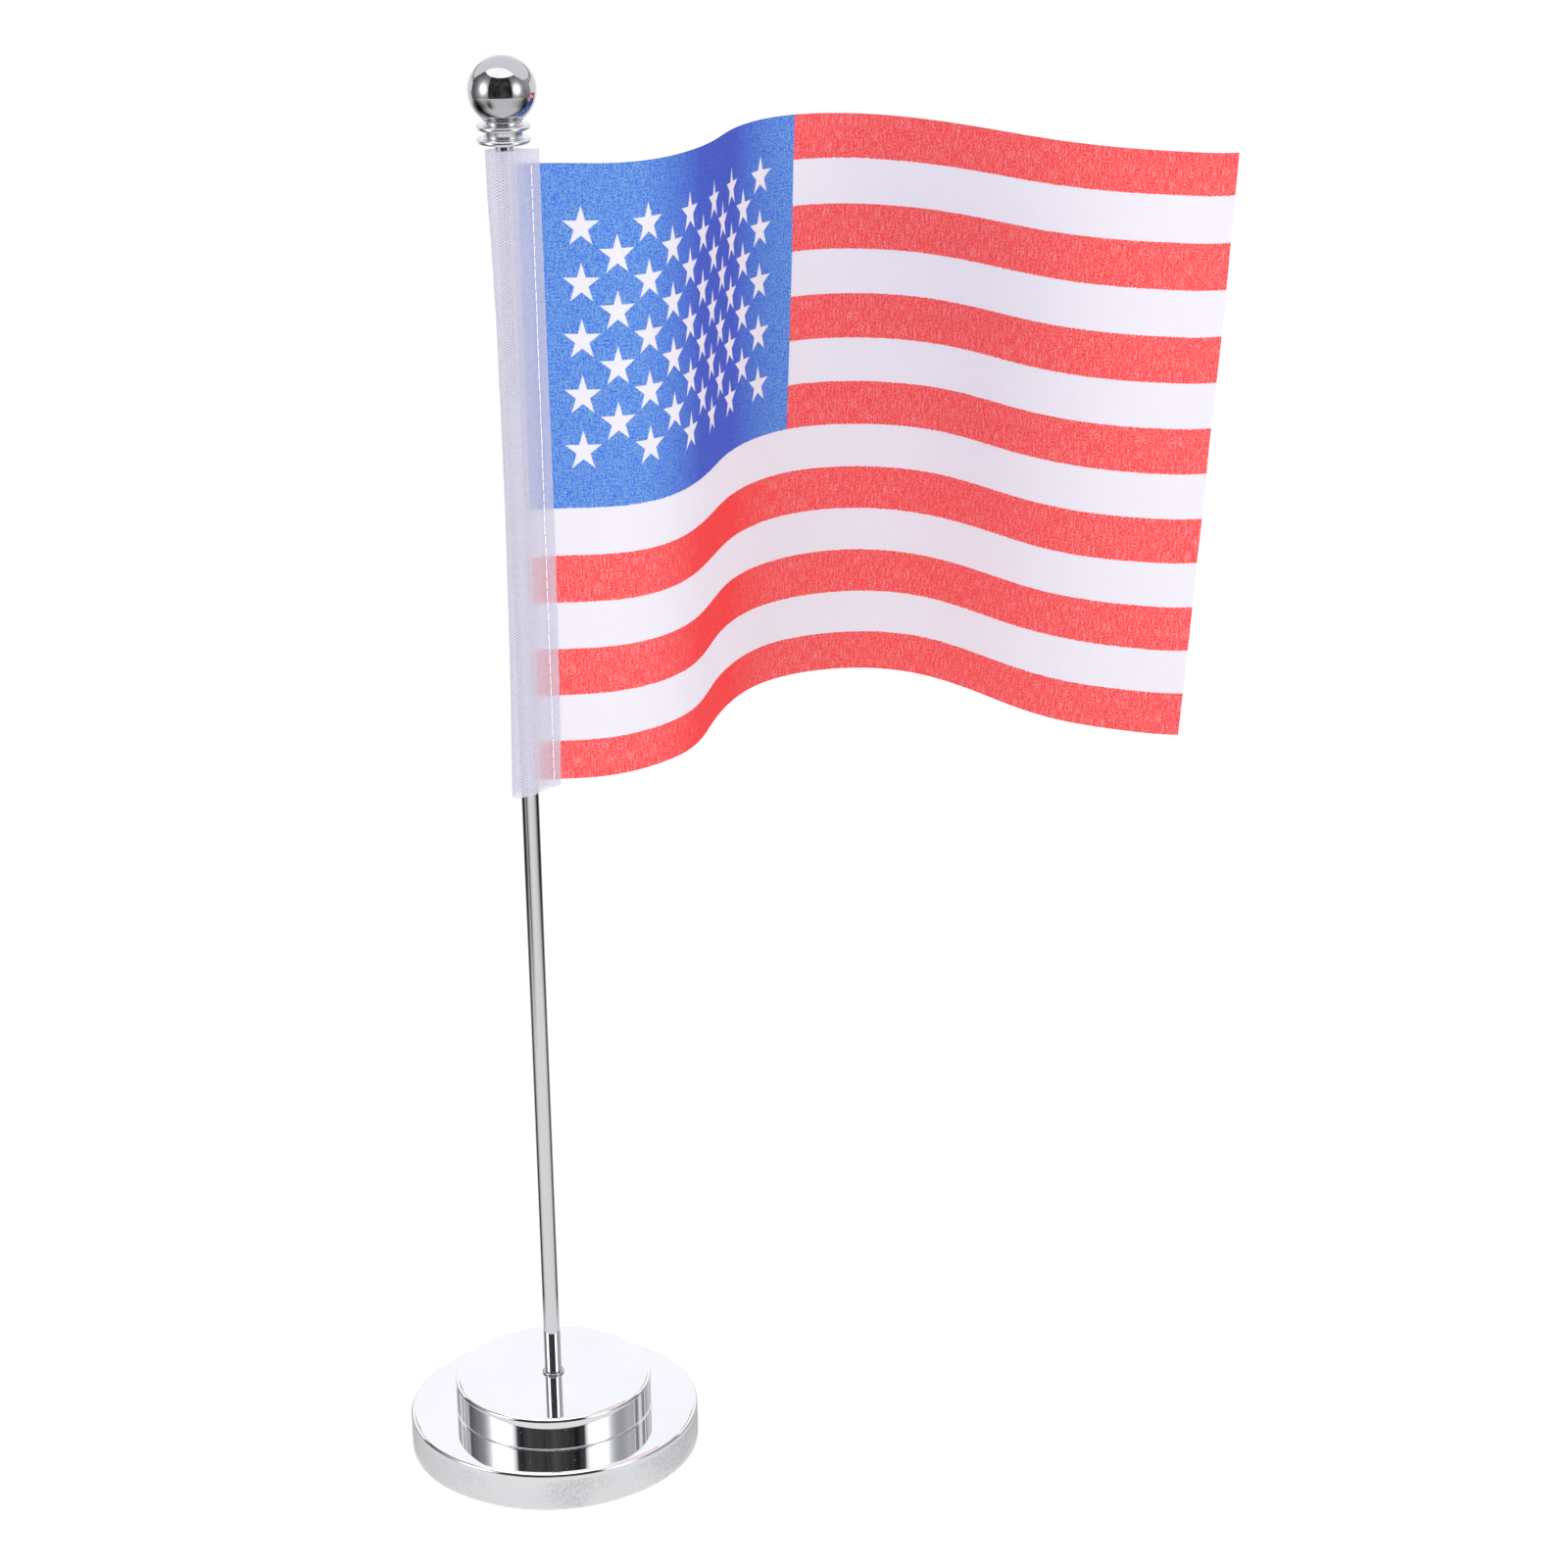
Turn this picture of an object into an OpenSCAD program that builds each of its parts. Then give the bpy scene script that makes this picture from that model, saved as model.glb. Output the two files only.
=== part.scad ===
// Desk flag stand: a two-step weighted base, a polished pole with a screwed-on ball finial,
// and a printed cloth flag sewn into a sleeve that slides on the pole.
// Origin: middle of the underside, on the pole's axis. +Z runs up the pole, +X along the flag.

/* [Base] */
// Diameter of the lower disc
base_d = 68.6; // [60:0.1:90]
// Height of the lower disc's top above the table
base_h = 9.9; // [9:0.1:14]
// Diameter of the upper disc
step_d = 46.8; // [36:0.1:54]
// Height of the upper disc alone
step_h = 8.1; // [7.5:0.1:12]
// Sheet thickness of both shells
shell_t = 0.8; // [0.6:0.1:1]
// Radius of the rolled top edges
edge_r = 0.9; // [0.5:0.1:1]
// Thickness of the pad under the base
pad_t = 1.2; // [1:0.1:1.4]

/* [Pole] */
// Diameter of the pole
pole_d = 4; // [4:0.1:4.1]
// Height of the pole's top face above the table
pole_top = 313.4; // [300:0.1:340]
// Diameter of the threaded foot
foot_d = 3; // [2.8:0.1:3]
// Outer diameter of the ring at the pole's foot
ring_d = 5.3; // [5:0.1:8]
// Thickness of the ring at the pole's foot
ring_t = 0.5; // [0.4:0.1:1]

/* [Finial] */
// Diameter of the ball
ball_d = 14.8; // [13:0.1:18]
// Diameter of the collar's neck
neck_d = 8.8; // [8:0.1:9.4]
// Height of the collar
neck_h = 5.4; // [5:0.1:6]
// Outer diameter of the collar's two rings
bead_d = 11.7; // [10.5:0.1:13]
// Thickness of each ring
bead_t = 1.3; // [1:0.1:1.4]
// Diameter of the stud between pole and collar
stud_d = 2.5; // [2:0.1:2.6]

/* [Sleeve] */
// Height of the sleeve's top above the table
sleeve_top = 312.1; // [290:0.1:312.1]
// Length of the sleeve
sleeve_h = 147; // [143:0.5:150]
// How far the folded edge lies behind the pole's axis
fold_x = -3.7; // [-4:0.1:-3.5]
// How far the free edge lies in front of the pole's axis
free_x = 7.3; // [7:0.1:9]
// Thickness of the sleeve's cloth
sleeve_t = 0.3; // [0.2:0.05:0.3]

/* [Flag] */
// Height of the flag's cloth
flag_h = 140; // [130:1:142]
// Length of the flag's cloth outside the sleeve
flag_l = 205; // [180:1:220]
// Thickness of the flag's cloth
flag_t = 0.4; // [0.3:0.05:0.5]
// Height of the flag's top corner at the sleeve above the table
flag_top = 309; // [300:0.1:311]
// Heading of the top edge in degrees, at every 10 mm along the fly
top_turn = [0, -1.4, 25.1, 48.9, 62.4, 68, 71.8, 69.8, 60.6, 43, 20.7,
    0.6, -14.2, -25.3, -32.5, -32.3, -24.4, -11.7, 2, 13, 20.8, 24.3];
// Heading of the bottom edge in degrees, at every 10 mm along the fly
low_turn = [0, 18.7, 37.1, 51.8, 66.8, 74.2, 74.4, 70.3, 62.7, 50.6, 34.6,
    16.8, -1.5, -20.6, -37.8, -46.9, -45.6, -35.9, -22, -10.2, -2.5, 0.6];
// How far the top edge hangs below its corner, at every 10 mm along the fly
top_sag = [0, 0.3, 0.6, 1, 1.3, 1.7, 2, 2.3, 2.6, 2.9, 3.3,
    3.8, 4.3, 5, 5.7, 6.5, 7.4, 8.4, 9.4, 10.5, 11.7, 12.4];

/* [Hidden] */
$fn = 96;
chrome = [0.86, 0.87, 0.89];
steel = [0.62, 0.63, 0.65];
base_r = base_d / 2;
step_r = step_d / 2;
step_top = base_h + step_h;
rim_z = 0.5;                        // lowest edge of the lower shell
run_gap = 0.05;                     // radial running clearance of threads and studs
free_gap = 0.3;                     // radial clearance of plain passages
nut_r = 2.9;
nut_bottom = 2.2;
flange_t = 1.2;
flange_z = nut_bottom + flange_t;
washer_t = 0.8;
washer_r = 8;
nut_top = base_h + 4.5;
foot_r = foot_d / 2;
foot_bottom = 5;
pole_r = pole_d / 2;
pole_bottom = step_top + ring_t;
stud_r = stud_d / 2;
stud_depth = 8;
ball_r = ball_d / 2;
ball_seat = pole_top + neck_h;
ball_z = ball_seat + sqrt(pow(ball_r, 2) - pow(neck_d / 2, 2));
spigot_r = 2.6;
spigot_l = 2.8;
sleeve_bottom = sleeve_top - sleeve_h;
pocket_r = pole_r + free_gap + sleeve_t;   // outer half thickness of the sleeve over the pole
tab_x = free_x - 2.1;                      // where the two layers meet
tab_half = flag_t / 2 + sleeve_t;
hoist_x = pole_r + 0.4;                    // the flag's edge inside the sleeve
stitch_x = free_x - 1.7;
stitch_pitch = 5;
stitch_l = 3.6;
stitch_r = 0.15;

// Upright disc profile with a rounded top edge, from the axis outwards
function disc_outline(r, z0, z1, e) = concat(
    [[0, z0], [r, z0]],
    [for (a = [0:15:90]) [r - e + e * cos(a), z1 - e + e * sin(a)]],
    [[0, z1]]);

module disc(r, z0, z1, e = 0.4) {
    rotate_extrude()
        polygon(disc_outline(r, z0, z1, e));
}

module bore(r, z0, z1) {
    translate([0, 0, z0])
        cylinder(r = r, h = z1 - z0);
}

module cup(r, z0, z1, hole_r) {
    difference() {
        disc(r, z0, z1, edge_r);
        bore(r - shell_t, z0 - 1, z1 - shell_t);
        bore(hole_r, z1 - shell_t - 1, z1 + 1);
    }
}

module base_shell() {
    color(chrome)
        cup(base_r, rim_z, base_h, nut_r + free_gap);
}

module step_shell() {
    color(chrome)
        cup(step_r, base_h, step_top, foot_r + free_gap);
}

module ballast_disc() {
    color(steel)
        difference() {
            disc(base_r - shell_t - run_gap, pad_t, base_h - shell_t, 0.6);
            bore(nut_r + free_gap, pad_t - 1, base_h);
            bore(washer_r + free_gap, pad_t - 1, flange_z + washer_t);
        }
}

module foot_pad() {
    color([0.1, 0.1, 0.11])
        disc(base_r - shell_t - 0.2, 0, pad_t, 0.2);
}

module step_filler() {
    color([0.25, 0.25, 0.27])
        difference() {
            disc(step_r - shell_t - run_gap, base_h, step_top - shell_t, 0.5);
            bore(nut_r + free_gap, base_h - 1, nut_top + free_gap);
            bore(foot_r + free_gap, base_h, step_top);
        }
}

// Hexagonal flange below, round threaded barrel above
module sleeve_nut() {
    color(steel)
        difference() {
            union() {
                translate([0, 0, nut_bottom])
                    cylinder(r = 5.8, h = flange_t, $fn = 6);
                bore(nut_r, nut_bottom, nut_top);
            }
            bore(foot_r + run_gap, nut_bottom - 1, nut_top + 1);
        }
}

module nut_washer() {
    color(steel)
        difference() {
            bore(washer_r, flange_z, flange_z + washer_t);
            bore(nut_r + free_gap / 2, flange_z - 1, flange_z + washer_t + 1);
        }
}

module foot_ring() {
    color(chrome)
        difference() {
            disc(ring_d / 2, step_top, pole_bottom, 0.2);
            bore(foot_r + run_gap, step_top - 1, pole_bottom + 1);
        }
}

module pole_rod() {
    color(chrome)
        difference() {
            union() {
                bore(pole_r, pole_bottom, pole_top);
                bore(foot_r, foot_bottom + 0.4, pole_bottom);
                translate([0, 0, foot_bottom])
                    cylinder(r1 = foot_r - 0.4, r2 = foot_r, h = 0.4);
            }
            bore(stud_r + run_gap, pole_top - stud_depth, pole_top + 1);
        }
}

module finial_stud() {
    color(steel)
        bore(stud_r, pole_top - stud_depth + 0.4, ball_seat - spigot_l + 3.2);
}

module bead(z) {
    half = bead_t / 2;
    rotate_extrude()
        polygon(concat([[0, z - half]],
                       [for (a = [-90:15:90]) [bead_d / 2 - half + half * cos(a), z + half * sin(a)]],
                       [[0, z + half]]));
}

// Turned neck with two rounded rings and a small flare under the ball
module finial_collar() {
    first = pole_top + 0.15 + bead_t / 2;
    color(chrome)
        difference() {
            union() {
                bore(neck_d / 2, pole_top, ball_seat);
                bead(first);
                bead(first + 2.9);
            }
            bore(stud_r + run_gap, pole_top - 1, ball_seat);
            bore(spigot_r, ball_seat - spigot_l, ball_seat + 1);
        }
}

// Ball cut flat where it seats, with a spigot pressed into the collar
module finial_ball() {
    color(chrome)
        difference() {
            union() {
                difference() {
                    translate([0, 0, ball_z])
                        sphere(r = ball_r);
                    translate([-ball_r, -ball_r, ball_seat - ball_d])
                        cube([ball_d, ball_d, ball_d]);
                }
                bore(spigot_r, ball_seat - spigot_l, ball_seat + 1);
            }
            bore(stud_r + run_gap, ball_seat - spigot_l - 1, ball_seat + 1.6);
        }
}

// Half thickness of the sleeve at x, round over the pole and flat at the tab
function pocket_half(x) = x < 0.3 ? pocket_r
    : x > tab_x ? tab_half
    : tab_half + (pocket_r - tab_half) * (1 + cos(180 * (x - 0.3) / (tab_x - 0.3))) / 2;

// Section of the sleeve, drawn in by t and ending at x = last
function pocket_outline(t, last) =
    let (r = pocket_r - t, c = fold_x + pocket_r,
         xs = concat([for (x = [0.3:0.49:tab_x - 0.1]) x], [tab_x, last]),
         upper = [for (x = xs) [x, pocket_half(x) - t]])
    concat([for (a = [270:-15:90]) [c + r * cos(a), r * sin(a)]],
           upper,
           [for (i = [len(upper) - 1:-1:0]) [upper[i].x, -upper[i].y]]);

module sleeve() {
    color([0.88, 0.88, 0.93])
        translate([0, 0, sleeve_bottom])
            difference() {
                linear_extrude(sleeve_h)
                    polygon(pocket_outline(0, free_x));
                translate([0, 0, -1])
                    linear_extrude(sleeve_h + 2)
                        polygon(pocket_outline(sleeve_t, free_x + 1));
            }
}

// Value at s along the fly, from a list given at every 10 mm
function along(list, s) = lookup(s, [for (k = [0:len(list) - 1]) [10 * k, list[k]]]);

cloth_n = 60;                       // steps along the fly
rise_n = 6;                         // steps up the hoist
step_l = flag_l / cloth_n;

// Plan of one edge, walked out from the sleeve's free edge
function edge_plan(turn) =
    [for (i = 0, x = free_x, y = 0; i <= cloth_n; i = i + 1,
          h = along(turn, (i - 0.5) * step_l),
          x = x + step_l * cos(h), y = y + step_l * sin(h)) [x, y]];

top_plan = concat([[hoist_x, 0]], edge_plan(top_turn));
low_plan = concat([[hoist_x, 0]], edge_plan(low_turn));
last_col = cloth_n + 1;

// Point on the cloth's middle surface, column i along the fly, v from 0 at the top to 1
function cloth_point(i, v) =
    let (a = top_plan[i], b = low_plan[i], d = b - a,
         fall = sqrt(flag_h * flag_h - d.x * d.x - d.y * d.y),
         s = max(0, i - 1) * step_l)
    [a.x + d.x * v, a.y + d.y * v, flag_top - along(top_sag, s) - fall * v];

function side_normal(i, v) =
    let (p = cloth_point(max(0, i - 1), v), q = cloth_point(min(last_col, i + 1), v),
         d = [q.x - p.x, q.y - p.y])
    i < 2 ? [0, 1, 0] : [-d.y, d.x, 0] / norm(d);

cloth_points = [for (side = [-1, 1]) for (i = [0:last_col]) for (j = [0:rise_n])
    cloth_point(i, j / rise_n) + side * flag_t / 2 * side_normal(i, j / rise_n)];

function id(side, i, j) = (side * (last_col + 1) + i) * (rise_n + 1) + j;

cloth_faces = concat(
    [for (i = [0:last_col - 1]) for (j = [0:rise_n - 1]) for (f = [
        [id(0, i, j), id(0, i + 1, j), id(0, i + 1, j + 1)],
        [id(0, i, j), id(0, i + 1, j + 1), id(0, i, j + 1)],
        [id(1, i, j), id(1, i + 1, j + 1), id(1, i + 1, j)],
        [id(1, i, j), id(1, i, j + 1), id(1, i + 1, j + 1)]]) f],
    [for (i = [0:last_col - 1]) for (f = [
        [id(0, i, 0), id(1, i, 0), id(1, i + 1, 0)],
        [id(0, i, 0), id(1, i + 1, 0), id(0, i + 1, 0)],
        [id(0, i, rise_n), id(1, i + 1, rise_n), id(1, i, rise_n)],
        [id(0, i, rise_n), id(0, i + 1, rise_n), id(1, i + 1, rise_n)]]) f],
    [for (j = [0:rise_n - 1]) for (f = [
        [id(0, 0, j), id(1, 0, j + 1), id(1, 0, j)],
        [id(0, 0, j), id(0, 0, j + 1), id(1, 0, j + 1)],
        [id(0, last_col, j), id(1, last_col, j), id(1, last_col, j + 1)],
        [id(0, last_col, j), id(1, last_col, j + 1), id(0, last_col, j + 1)]]) f]);

module flag() {
    color([0.93, 0.35, 0.35])
        polyhedron(points = cloth_points, faces = cloth_faces, convexity = 6);
}

module hoist_thread() {
    color("white")
        for (z = [sleeve_bottom + 2:stitch_pitch:sleeve_top - stitch_l - 1])
            for (side = [-1, 1])
                translate([stitch_x, side * (tab_half + stitch_r), z])
                    cylinder(r = stitch_r, h = stitch_l, $fn = 16);
}

base_shell();
ballast_disc();
foot_pad();
step_shell();
step_filler();
sleeve_nut();
nut_washer();
foot_ring();
pole_rod();
finial_stud();
finial_collar();
finial_ball();
sleeve();
flag();
hoist_thread();
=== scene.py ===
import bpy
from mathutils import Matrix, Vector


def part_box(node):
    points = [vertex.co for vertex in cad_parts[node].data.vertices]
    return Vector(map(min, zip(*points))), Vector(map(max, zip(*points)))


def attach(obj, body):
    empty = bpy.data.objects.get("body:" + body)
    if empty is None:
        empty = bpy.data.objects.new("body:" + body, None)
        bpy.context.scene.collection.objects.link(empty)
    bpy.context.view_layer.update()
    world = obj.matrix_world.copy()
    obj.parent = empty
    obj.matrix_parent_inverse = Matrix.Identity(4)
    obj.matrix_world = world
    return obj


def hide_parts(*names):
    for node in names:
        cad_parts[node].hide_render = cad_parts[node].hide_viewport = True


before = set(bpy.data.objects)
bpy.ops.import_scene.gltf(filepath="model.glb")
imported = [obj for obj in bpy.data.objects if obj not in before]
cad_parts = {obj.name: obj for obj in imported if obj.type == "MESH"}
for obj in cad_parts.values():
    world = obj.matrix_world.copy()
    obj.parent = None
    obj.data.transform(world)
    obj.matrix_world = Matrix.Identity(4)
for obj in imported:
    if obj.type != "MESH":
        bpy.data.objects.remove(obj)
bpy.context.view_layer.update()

from math import asin, ceil, cos, degrees, pi, radians, sin, sqrt
import bmesh
import bpy
from mathutils import Matrix, Vector, noise

mm = 0.001
bpy.context.scene.view_settings.view_transform = "Standard"


def topOf(node):
    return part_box(node)[1].z


def bottomOf(node):
    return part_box(node)[0].z


def radiusOf(node):
    low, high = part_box(node)
    return (high.x - low.x) / 2


# Camera, standing in front of the stand and a little above its ball.
cameraSet = {
    "distance": 815.4 * mm,
    "height": 468.1 * mm,
    "yaw": 4.04,      # degrees to the right
    "pitch": 20.31,   # degrees down
    "roll": -0.9,
    "lens": 88.07,
}


def makeCamera():
    data = bpy.data.cameras.new("viewCamera")
    data.lens = cameraSet["lens"]
    data.sensor_width = 36
    cam = bpy.data.objects.new("viewCamera", data)
    bpy.context.scene.collection.objects.link(cam)
    turn = Matrix.Rotation(radians(-cameraSet["yaw"]), 4, "Z")
    tip = Matrix.Rotation(radians(90 - cameraSet["pitch"]), 4, "X")
    lean = Matrix.Rotation(radians(cameraSet["roll"]), 4, "Z")
    place = Matrix.Translation((0, -cameraSet["distance"], cameraSet["height"]))
    cam.matrix_world = place @ turn @ tip @ lean
    bpy.context.scene.camera = cam


makeCamera()
print("camera set")


# Mesh helpers.
def addPiece(name, points, faces, flatUv=None):
    mesh = bpy.data.meshes.new(name)
    mesh.from_pydata([tuple(p) for p in points], [], faces)
    if flatUv is not None:
        layer = mesh.uv_layers.new(name="flat")
        for loop in mesh.loops:
            layer.data[loop.index].uv = flatUv[loop.vertex_index]
    mesh.polygons.foreach_set("use_smooth", [True] * len(mesh.polygons))
    mesh.update()
    piece = bpy.data.objects.new(name, mesh)
    bpy.context.scene.collection.objects.link(piece)
    return piece


def gridFaces(rows, columns, closed=False):
    faces = []
    for i in range(rows if closed else rows - 1):
        for j in range(columns - 1):
            a = i * columns + j
            b = ((i + 1) % rows) * columns + j
            faces.append((a, b, b + 1, a + 1))
    return faces


def tidyMesh(piece, angle=30):
    work = bmesh.new()
    work.from_mesh(piece.data)
    bmesh.ops.remove_doubles(work, verts=work.verts, dist=0.0005 * mm)
    bmesh.ops.dissolve_degenerate(work, edges=work.edges, dist=0.0002 * mm)
    bmesh.ops.recalc_face_normals(work, faces=work.faces)
    work.to_mesh(piece.data)
    work.free()
    piece.data.set_sharp_from_angle(angle=radians(angle))


def supported(outline):
    # keeps the shading flat on long straight runs by adding a point close to each end
    gap, result = 0.15 * mm, []
    for (r, z), (nr, nz) in zip(outline, outline[1:] + outline[:1]):
        result.append((r, z))
        long = sqrt((nr - r) ** 2 + (nz - z) ** 2)
        if long > 8 * gap:
            for share in (gap / long, 1 - gap / long):
                result.append((r + (nr - r) * share, z + (nz - z) * share))
    return result


def lathe(name, outline, turns=192):
    # outline is a closed loop of (radius, height), turned round the pole's axis
    outline = supported(outline)
    loop = outline + outline[:1]
    points = []
    for i in range(turns):
        a = 2 * pi * i / turns
        points += [(r * cos(a), r * sin(a), z) for r, z in loop]
    piece = addPiece(name, points, gridFaces(turns, len(loop), closed=True))
    tidyMesh(piece)
    return piece


def arc(cx, cz, r, start, end, steps):
    turn = [radians(start + (end - start) * i / steps) for i in range(steps + 1)]
    return [(cx + r * cos(a), cz + r * sin(a)) for a in turn]


# Shader helpers.
class Shade:
    def __init__(self, name):
        self.mat = bpy.data.materials.new(name)
        self.mat.use_nodes = True
        self.tree = self.mat.node_tree
        self.tree.nodes.clear()
        self.out = self.add("ShaderNodeOutputMaterial")

    def add(self, kind, **settings):
        node = self.tree.nodes.new(kind)
        for key, value in settings.items():
            setattr(node, key, value)
        return node

    def link(self, source, target):
        self.tree.links.new(source, target)

    def feed(self, socket, value):
        if isinstance(value, bpy.types.NodeSocket):
            self.link(value, socket)
        else:
            socket.default_value = value

    def math(self, operation, a, b=0.0, c=0.0):
        node = self.add("ShaderNodeMath", operation=operation)
        for socket, value in zip(node.inputs, (a, b, c)):
            self.feed(socket, value)
        return node.outputs[0]

    def coords(self, kind, scale=(1, 1, 1)):
        place = self.add("ShaderNodeTexCoord")
        spread = self.add("ShaderNodeMapping")
        spread.inputs["Scale"].default_value = scale
        self.link(place.outputs[kind], spread.inputs["Vector"])
        return spread.outputs[0]

    def noise(self, where, scale, detail=3.0, rough=0.55):
        node = self.add("ShaderNodeTexNoise")
        self.link(where, node.inputs["Vector"])
        node.inputs["Scale"].default_value = scale
        node.inputs["Detail"].default_value = detail
        node.inputs["Roughness"].default_value = rough
        return node.outputs[0]

    def remap(self, value, fromLow, fromHigh, toLow, toHigh):
        node = self.add("ShaderNodeMapRange")
        for socket, number in zip(node.inputs, (value, fromLow, fromHigh, toLow, toHigh)):
            self.feed(socket, number)
        return node.outputs[0]

    def blendColour(self, share, first, second):
        node = self.add("ShaderNodeMix", data_type="RGBA")
        self.feed(node.inputs[0], share)
        self.feed(node.inputs[6], first)
        self.feed(node.inputs[7], second)
        return node.outputs[2]

    def bump(self, height, strength, distance):
        node = self.add("ShaderNodeBump")
        node.inputs["Strength"].default_value = strength
        node.inputs["Distance"].default_value = distance
        self.link(height, node.inputs["Height"])
        return node.outputs[0]

    def principled(self, colour, rough, metal=0.0, normal=None, **sockets):
        node = self.add("ShaderNodeBsdfPrincipled")
        self.feed(node.inputs["Base Color"], colour)
        self.feed(node.inputs["Roughness"], rough)
        node.inputs["Metallic"].default_value = metal
        for name, value in sockets.items():
            node.inputs[name.replace("_", " ")].default_value = value
        if normal is not None:
            self.link(normal, node.inputs["Normal"])
        return node.outputs[0]

    def finish(self, shader):
        self.link(shader, self.out.inputs["Surface"])
        return self.mat


# Metals.
platingSet = {
    "colour": (0.9, 0.905, 0.925, 1),
    "dull": (0.83, 0.835, 0.855, 1),
    "smooth": 0.012,
    "smudged": 0.07,
    "dust": (0.8, 0.8, 0.8, 1),
}
# frosted mottle low on a wall, partly real frost and partly a painted reflection of the table: fade below its
# top, darker colour painted as that reflection, added roughness, bump and its depth
mottleAndReflectionSet = {"fade": 0.5 * mm, "colour": (0.62, 0.63, 0.65, 1), "rough": 0.12, "bump": 0.9, "deep": 0.12 * mm}


def platedMetal(name, colour, dull, wave, dust=0.0, satin=0.0, wallTop=None):
    # mirror plating with faint smudges, a slow ripple, specks of dust and, if asked for, a mottled wall that
    # is partly frost and partly a painted reflection of the table
    shade = Shade(name)
    place = shade.coords("Object")
    smudge = shade.noise(place, 90, 5, 0.6)
    rough = shade.remap(smudge, 0.42, 0.75, platingSet["smooth"], platingSet["smudged"])
    tone = shade.remap(shade.noise(place, 45, 2), 0.35, 0.7, 0, 0.5)
    paint = shade.blendColour(tone, colour, dull)
    speck = shade.remap(shade.noise(place, 1500, 1, 0.4), 0.76, 0.8, 0, dust)
    paint = shade.blendColour(speck, paint, platingSet["dust"])
    rough = shade.math("MAXIMUM", rough, shade.math("MULTIPLY", speck, 0.9))
    ripple = shade.math("ADD", shade.noise(place, 160, 2), shade.math("MULTIPLY", speck, 0.2))
    rough = shade.math("ADD", rough, satin)
    normal = shade.bump(ripple, wave, 0.05 * mm)
    if wallTop is not None:
        split = shade.add("ShaderNodeSeparateXYZ")
        shade.link(place, split.inputs[0])
        wall = shade.remap(split.outputs[2], wallTop, wallTop - mottleAndReflectionSet["fade"], 0, 1)
        patch = shade.remap(shade.noise(place, 55, 3), 0.4, 0.65, 0.2, 1)
        cells = shade.remap(shade.noise(place, 1400, 3, 0.65), 0.38, 0.62, 0, 1)
        grain = shade.math("MULTIPLY", wall, shade.math("MULTIPLY", patch, cells))
        rough = shade.math("ADD", rough, shade.math("MULTIPLY", grain, mottleAndReflectionSet["rough"]))
        # darker patches painted in as a reflection of the table on the low wall
        paint = shade.blendColour(shade.math("MULTIPLY", grain, 0.5), paint, mottleAndReflectionSet["colour"])
        extra = shade.add("ShaderNodeBump")
        shade.link(grain, extra.inputs["Height"])
        shade.link(normal, extra.inputs["Normal"])
        extra.inputs["Strength"].default_value = mottleAndReflectionSet["bump"]
        extra.inputs["Distance"].default_value = mottleAndReflectionSet["deep"]
        normal = extra.outputs[0]
    return shade.finish(shade.principled(paint, rough, 1.0, normal))


def drawnRod(name):
    # polished rod with fine draw lines along its length
    shade = Shade(name)
    lines = shade.noise(shade.coords("Object", (2600, 2600, 9)), 1, 3, 0.6)
    rough = shade.remap(lines, 0.35, 0.7, 0.01, 0.04)
    tone = shade.remap(lines, 0.4, 0.75, 0, 0.55)
    paint = shade.blendColour(tone, (0.78, 0.785, 0.805, 1), (0.62, 0.625, 0.645, 1))
    normal = shade.bump(lines, 0.02, 0.02 * mm)
    return shade.finish(shade.principled(paint, rough, 1.0, normal))


def castIron(name):
    shade = Shade(name)
    place = shade.coords("Object")
    grain = shade.noise(place, 700, 6, 0.7)
    paint = shade.blendColour(shade.noise(place, 120, 3), (0.05, 0.05, 0.055, 1), (0.12, 0.105, 0.1, 1))
    rough = shade.remap(grain, 0.3, 0.7, 0.5, 0.8)
    return shade.finish(shade.principled(paint, rough, 0.6, shade.bump(grain, 0.6, 0.15 * mm)))


def zincSteel(name):
    shade = Shade(name)
    place = shade.coords("Object")
    cloud = shade.noise(place, 300, 4, 0.6)
    paint = shade.blendColour(cloud, (0.42, 0.43, 0.45, 1), (0.62, 0.63, 0.64, 1))
    rough = shade.remap(cloud, 0.3, 0.7, 0.28, 0.45)
    return shade.finish(shade.principled(paint, rough, 1.0, shade.bump(cloud, 0.2, 0.03 * mm)))


def mouldedFiller(name):
    shade = Shade(name)
    place = shade.coords("Object")
    grain = shade.noise(place, 1200, 4, 0.6)
    paint = shade.blendColour(shade.noise(place, 60, 2), (0.05, 0.05, 0.055, 1), (0.08, 0.08, 0.085, 1))
    rough = shade.remap(grain, 0.3, 0.7, 0.5, 0.65)
    return shade.finish(shade.principled(paint, rough, 0, shade.bump(grain, 0.3, 0.05 * mm)))


def padFoam(name):
    # closed-cell foam: fine pores over a slow mottle
    shade = Shade(name)
    place = shade.coords("Object")
    cells = shade.add("ShaderNodeTexVoronoi")
    shade.link(place, cells.inputs["Vector"])
    cells.inputs["Scale"].default_value = 2200
    pores = shade.remap(cells.outputs[0], 0.1, 0.6, 0, 1)
    paint = shade.blendColour(pores, (0.018, 0.018, 0.02, 1), (0.05, 0.05, 0.055, 1))
    rough = shade.remap(shade.noise(place, 200, 3), 0.3, 0.7, 0.8, 0.95)
    return shade.finish(shade.principled(paint, rough, 0, shade.bump(pores, 0.5, 0.12 * mm)))


print("metals and base materials ready")


# Metal pieces.
discSet = {"edge": 1.1 * mm, "sheet": 0.8 * mm, "rimRound": 0.4 * mm, "bore": 3.2 * mm,
           "stepBore": 1.8 * mm, "mottleTop": 8.4 * mm, "wave": 0.02, "dust": 0.5}


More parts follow.
